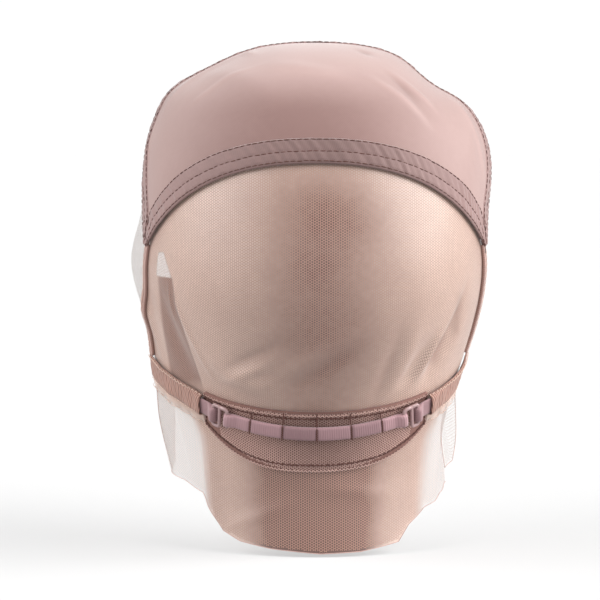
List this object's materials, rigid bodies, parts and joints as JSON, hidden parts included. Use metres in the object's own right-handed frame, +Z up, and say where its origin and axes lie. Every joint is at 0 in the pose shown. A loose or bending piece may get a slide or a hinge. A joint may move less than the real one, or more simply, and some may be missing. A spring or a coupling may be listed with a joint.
{
  "type": "wig cap",
  "caption": "Close-fitting net cap with a stretch crown panel, nape guard, and an adjustable strap hooked to elastic at the nape.",
  "frame": {"origin": "crown point of the hollow, where the head meets the cap from below", "axes": "+Z up out of the crown, -Y out of the back of the cap, +X towards the right side of the back view"},
  "size_m": [0.1544, 0.1931, 0.2147],
  "materials": {
    "nylon": "smooth stretch nylon with a soft sheen",
    "hem_nylon": "doubled nylon band with three stitch rows",
    "net": "open hexagonal net, matt",
    "double_net": "two or more layers of net, matt",
    "ribbon": "ribbed elastic webbing",
    "coated_wire": "nylon-coated metal, half gloss"
  },
  "bodies": {
    "root": {"crown_panel": "nylon", "rear_hem": "hem_nylon", "front_hem": "hem_nylon", "back_lace": "net", "front_lace": "net", "nape_guard": "double_net", "nape_strap": "ribbon", "side_seam_left": "double_net", "side_seam_right": "double_net", "casing_left": "double_net", "casing_right": "double_net", "elastic_left": "ribbon", "elastic_right": "ribbon", "hook_left": "coated_wire", "hook_right": "coated_wire"}
  },
  "joints": []
}
